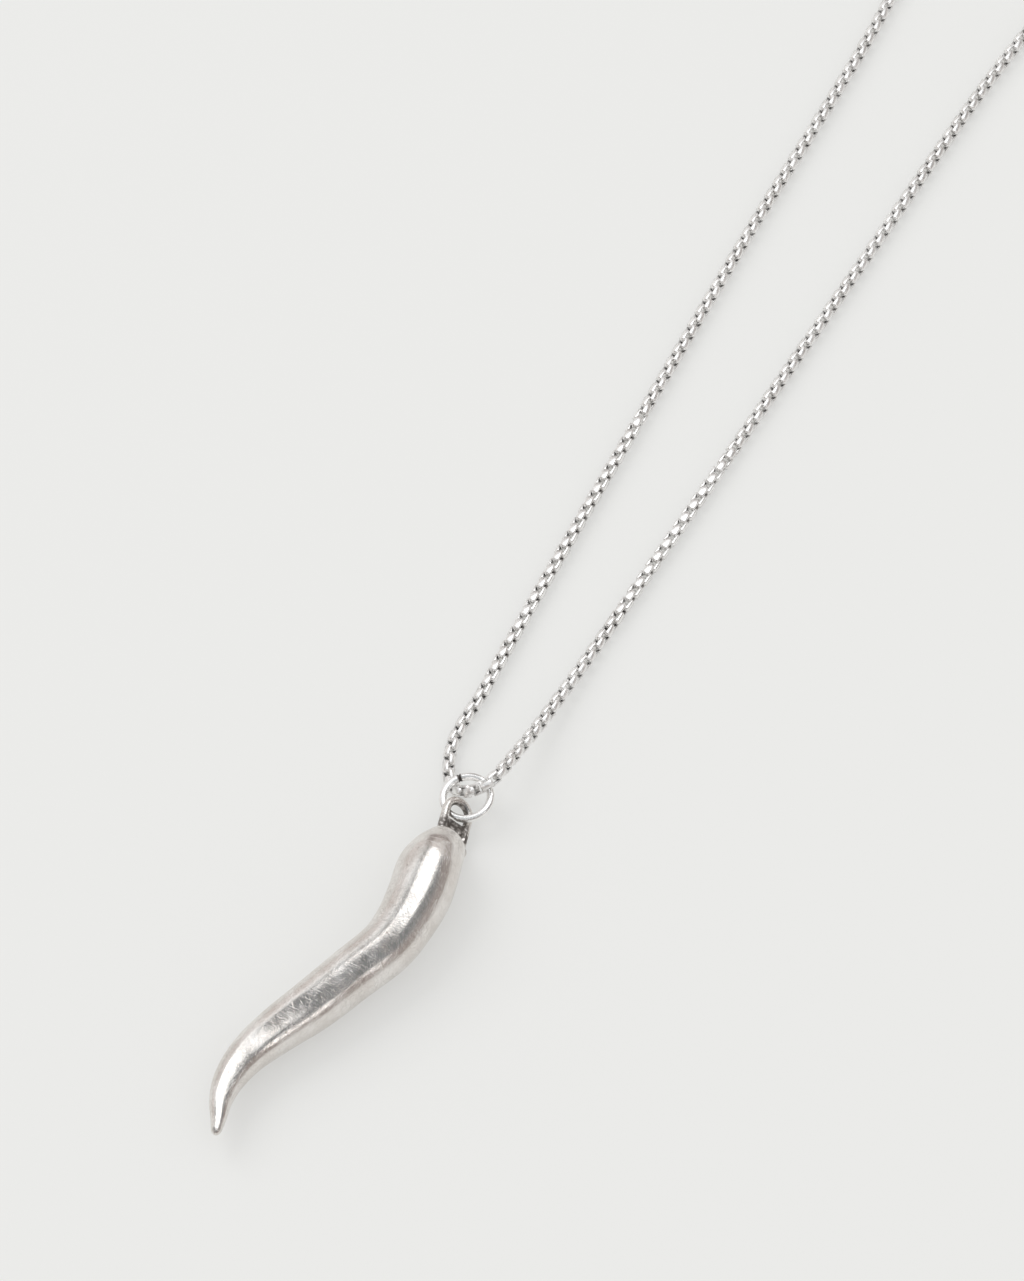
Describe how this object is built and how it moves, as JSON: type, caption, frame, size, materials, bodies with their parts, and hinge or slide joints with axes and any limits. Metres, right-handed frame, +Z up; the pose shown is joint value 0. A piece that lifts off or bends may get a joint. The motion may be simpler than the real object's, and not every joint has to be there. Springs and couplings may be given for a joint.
{
  "type": "horn pendant necklace",
  "caption": "Silver S-curved horn pendant with a soldered wire eye, on a jump ring and a closed round box chain with a barrel clasp, lying flat.",
  "frame": {"origin": "centre of the whole necklace's box, on the surface that it lies on", "axes": "+Z up from the surface, +Y along the necklace from the horn's tip to the clasp, +X across it"},
  "size_m": [0.0516, 0.2864, 0.0069],
  "materials": {
    "horn_silver": "satin polish with fine scratches",
    "ring_silver": "polished",
    "chain_silver": "polished, dark between the links",
    "clasp_silver": "polished"
  },
  "bodies": {
    "root": {"horn": "horn_silver", "jump_ring": "ring_silver", "chain": "chain_silver", "clasp": "clasp_silver"}
  },
  "joints": []
}
